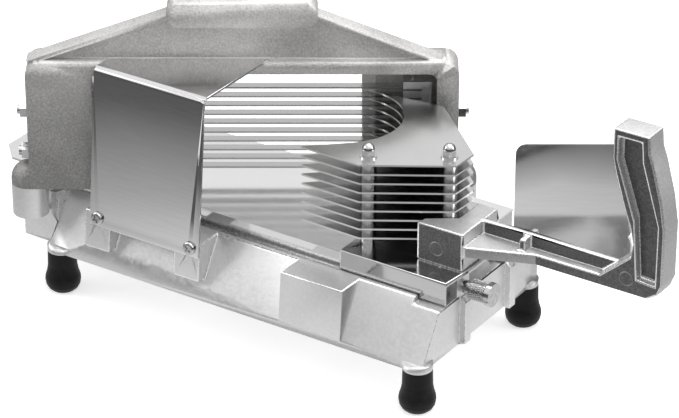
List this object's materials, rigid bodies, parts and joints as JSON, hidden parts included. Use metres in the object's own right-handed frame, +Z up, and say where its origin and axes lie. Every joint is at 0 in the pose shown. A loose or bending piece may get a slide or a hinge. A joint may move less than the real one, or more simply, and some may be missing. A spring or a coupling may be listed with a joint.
{
  "type": "tomato slicer",
  "caption": "Push-type tomato slicer: cast base on rubber feet, diagonal rack of blades in a cast frame, and a sliding pusher with stacked notched plates and an upright grip.",
  "frame": {"origin": "on the floor under the middle of the whole object at rest, where the feet stand", "axes": "+X from the exit tray to the handle along the pusher's travel, +Y to the side of the frame's right seat, +Z up"},
  "size_m": [0.486, 0.178, 0.205],
  "materials": {
    "cast_base": "satin cast aluminium",
    "cast_frame": "fine grained cast aluminium",
    "cast_handle": "fine grained cast aluminium",
    "sheet_steel": "polished sheet",
    "blade_steel": "ground strip",
    "bright_steel": "bright plated",
    "dark_steel": "dull plated",
    "holder_metal": "machined",
    "rubber": "matt black",
    "white_plastic": "smooth"
  },
  "bodies": {
    "base": {"base_casting": "cast_base", "slide_board": "sheet_steel", "exit_tray": "sheet_steel", "foot_front_left": "rubber", "foot_front_right": "rubber", "foot_back_left": "rubber", "foot_back_right": "rubber", "foot_screws": "dark_steel", "blade_frame": "cast_frame", "frame_bolts": "dark_steel", "blade_holder_left": "holder_metal", "blade_holder_right": "holder_metal", "slicing_blades": "blade_steel", "blade_pins": "bright_steel", "tension_bolts": "bright_steel", "tension_nuts": "bright_steel", "front_guard": "sheet_steel", "front_guard_screws": "bright_steel", "rear_guard": "sheet_steel", "rear_guard_screws": "bright_steel", "screw_lug": "cast_base"},
    "pusher": {"carriage_plate": "sheet_steel", "glide_strip": "white_plastic", "pusher_plates": "blade_steel", "plate_studs": "bright_steel", "plate_spacers": "bright_steel", "acorn_nuts": "bright_steel", "handle": "cast_handle", "handle_screws": "dark_steel"},
    "thumb_screw": {"thumb_screw": "bright_steel"}
  },
  "joints": [
    {"name": "pusher_slide", "type": "slide", "parent": "base", "child": "pusher", "axis": [-1, 0, 0], "range_m": [0, 0.15]},
    {"name": "thumb_screw_travel", "type": "slide", "parent": "base", "child": "thumb_screw", "axis": [1, 0, 0], "range_m": [0, 0.004]}
  ]
}
